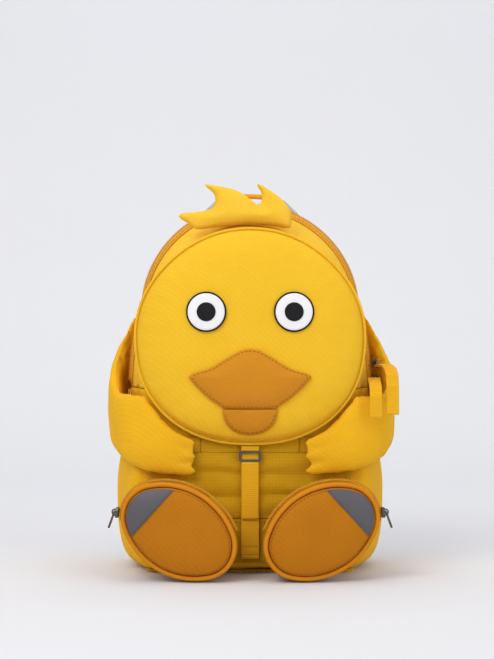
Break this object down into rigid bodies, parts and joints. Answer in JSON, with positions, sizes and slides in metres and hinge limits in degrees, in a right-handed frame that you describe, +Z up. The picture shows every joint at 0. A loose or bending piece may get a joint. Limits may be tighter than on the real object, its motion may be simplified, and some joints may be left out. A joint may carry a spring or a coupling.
{
  "type": "children's backpack",
  "caption": "Children's duck-shaped backpack with a zipped head, lifting face flap, wings, a buckled front strap, zipped foot pockets and shoulder straps.",
  "frame": {"origin": "middle of the base panel's under side, on the floor", "axes": "+Z up, -Y towards the duck's front, +X to the viewer's right"},
  "size_m": [0.2448, 0.231, 0.3279],
  "materials": {
    "black_patch": "flat black felt",
    "grey_reflective": "grey reflective fabric",
    "gunmetal": "dark plated zinc",
    "orange_twill": "orange twill",
    "ochre_ripstop": "ochre ripstop",
    "yellow_webbing": "ribbed webbing",
    "grey_mesh": "spacer mesh",
    "grey_plastic": "moulded acetal",
    "yellow_twill": "yellow cotton twill"
  },
  "bodies": {
    "bag": {"main_shell": "yellow_twill", "back_pad": "grey_mesh", "base_panel": "yellow_twill", "belly_pocket": "ochre_ripstop", "rear_zip_tape": "orange_twill", "left_zip_end_tab": "yellow_twill", "right_zip_end_tab": "yellow_twill", "end_slider": "gunmetal", "left_foot_shell": "ochre_ripstop", "right_foot_shell": "ochre_ripstop", "left_foot_zip": "orange_twill", "right_foot_zip": "orange_twill", "left_strap_anchor": "yellow_webbing", "right_strap_anchor": "yellow_webbing", "strap_yoke": "yellow_webbing", "left_handle_end": "grey_reflective", "right_handle_end": "grey_reflective"},
    "lid": {"lid_shell": "yellow_twill", "lid_zip_tape": "orange_twill", "tuft": "yellow_twill"},
    "face": {"face_pad": "yellow_twill", "face_piping": "yellow_twill", "left_eye": "black_patch", "right_eye": "black_patch", "upper_bill": "orange_twill"},
    "lip": {"lower_bill": "orange_twill"},
    "left_wing": {"left_wing": "yellow_twill"},
    "right_wing": {"right_wing": "yellow_twill"},
    "closing_strap": {"front_strap": "yellow_webbing", "strap_tail": "yellow_webbing", "strap_buckle": "gunmetal", "strap_tab": "yellow_webbing"},
    "main_slider": {"main_slider": "gunmetal"},
    "main_pull": {"main_pull": "gunmetal", "main_pull_tab": "yellow_webbing"},
    "end_pull": {"end_pull": "gunmetal", "end_pull_tab": "yellow_webbing"},
    "handle": {"handle_grip": "yellow_webbing"},
    "left_foot_cover": {"left_foot_cover": "ochre_ripstop", "left_foot_piping": "orange_twill", "left_reflector": "grey_reflective"},
    "left_foot_slider": {"left_foot_slider": "gunmetal"},
    "left_foot_pull": {"left_foot_pull": "gunmetal"},
    "left_strap": {"left_shoulder_strap": "grey_mesh", "left_ladder_lock": "grey_plastic", "left_lower_webbing": "yellow_webbing"},
    "right_foot_cover": {"right_foot_cover": "ochre_ripstop", "right_foot_piping": "orange_twill", "right_reflector": "grey_reflective"},
    "right_foot_slider": {"right_foot_slider": "gunmetal"},
    "right_foot_pull": {"right_foot_pull": "gunmetal"},
    "right_strap": {"right_shoulder_strap": "grey_mesh", "right_ladder_lock": "grey_plastic", "right_lower_webbing": "yellow_webbing"}
  },
  "joints": [
    {"name": "lid_open", "type": "hinge", "parent": "bag", "child": "lid", "pos_m": [0, -0.0678, 0.103], "axis": [1, 0, 0], "range_deg": [0, 65]},
    {"name": "face_lift", "type": "hinge", "parent": "lid", "child": "face", "pos_m": [0, -0.0678, 0.286], "axis": [-1, 0, 0], "range_deg": [0, 75]},
    {"name": "lower_bill_lift", "type": "hinge", "parent": "face", "child": "lip", "pos_m": [0, -0.0873, 0.1384], "axis": [-1, 0, 0], "range_deg": [0, 80]},
    {"name": "left_wing_swing", "type": "hinge", "parent": "bag", "child": "left_wing", "pos_m": [-0.1046, 0.024, 0.15], "axis": [0, 0, -1], "range_deg": [0, 40]},
    {"name": "right_wing_swing", "type": "hinge", "parent": "bag", "child": "right_wing", "pos_m": [0.1046, 0.024, 0.15], "axis": [0, 0, 1], "range_deg": [0, 40]},
    {"name": "closing_strap_swing", "type": "hinge", "parent": "bag", "child": "closing_strap", "pos_m": [0, -0.0687, 0.014], "axis": [1, 0, 0], "range_deg": [0, 95]},
    {"name": "main_slider_run", "type": "hinge", "parent": "bag", "child": "main_slider", "pos_m": [-0.21281, -0.008, 0.15], "axis": [0, -1, 0], "range_deg": [0, 11.5]},
    {"name": "main_pull_swivel", "type": "hinge", "parent": "main_slider", "child": "main_pull", "pos_m": [0.10844, -0.0077, 0.17554], "axis": [-0.9969, 0, -0.0793], "range_deg": [0, 40]},
    {"name": "end_pull_swivel", "type": "hinge", "parent": "bag", "child": "end_pull", "pos_m": [0.10925, -0.0077, 0.16124], "axis": [-0.9994, 0, -0.0349], "range_deg": [0, 15]},
    {"name": "handle_fold", "type": "hinge", "parent": "bag", "child": "handle", "pos_m": [0, 0.048, 0.31471], "axis": [-1, 0, 0], "range_deg": [0, 28]},
    {"name": "left_foot_open", "type": "hinge", "parent": "bag", "child": "left_foot_cover", "pos_m": [-0.07535, -0.10195, 0.00945], "axis": [0.8627, -0.0755, -0.5], "range_deg": [0, 70]},
    {"name": "left_foot_slider_run", "type": "hinge", "parent": "bag", "child": "left_foot_slider", "pos_m": [-0.07653, -0.10124, 0.05231], "axis": [0.0872, 0.9962, 0], "range_deg": [0, 62]},
    {"name": "left_foot_pull_swing", "type": "hinge", "parent": "left_foot_slider", "child": "left_foot_pull", "pos_m": [-0.11035, -0.09858, 0.05583], "axis": [0.0872, 0.9962, 0], "range_deg": [0, 22]},
    {"name": "left_strap_swing", "type": "hinge", "parent": "bag", "child": "left_strap", "pos_m": [-0.056, 0.0668, 0.151], "axis": [-0.1848, 0, -0.9828], "range_deg": [-14, 14]},
    {"name": "right_foot_open", "type": "hinge", "parent": "bag", "child": "right_foot_cover", "pos_m": [0.07535, -0.10195, 0.00945], "axis": [0.8627, 0.0755, 0.5], "range_deg": [0, 70]},
    {"name": "right_foot_slider_run", "type": "hinge", "parent": "bag", "child": "right_foot_slider", "pos_m": [0.07653, -0.10124, 0.05231], "axis": [0.0872, -0.9962, 0], "range_deg": [0, 62]},
    {"name": "right_foot_pull_swing", "type": "hinge", "parent": "right_foot_slider", "child": "right_foot_pull", "pos_m": [0.11035, -0.09858, 0.05583], "axis": [0.0872, -0.9962, 0], "range_deg": [0, 22]},
    {"name": "right_strap_swing", "type": "hinge", "parent": "bag", "child": "right_strap", "pos_m": [0.056, 0.0668, 0.151], "axis": [0.1848, 0, -0.9828], "range_deg": [-14, 14]}
  ]
}
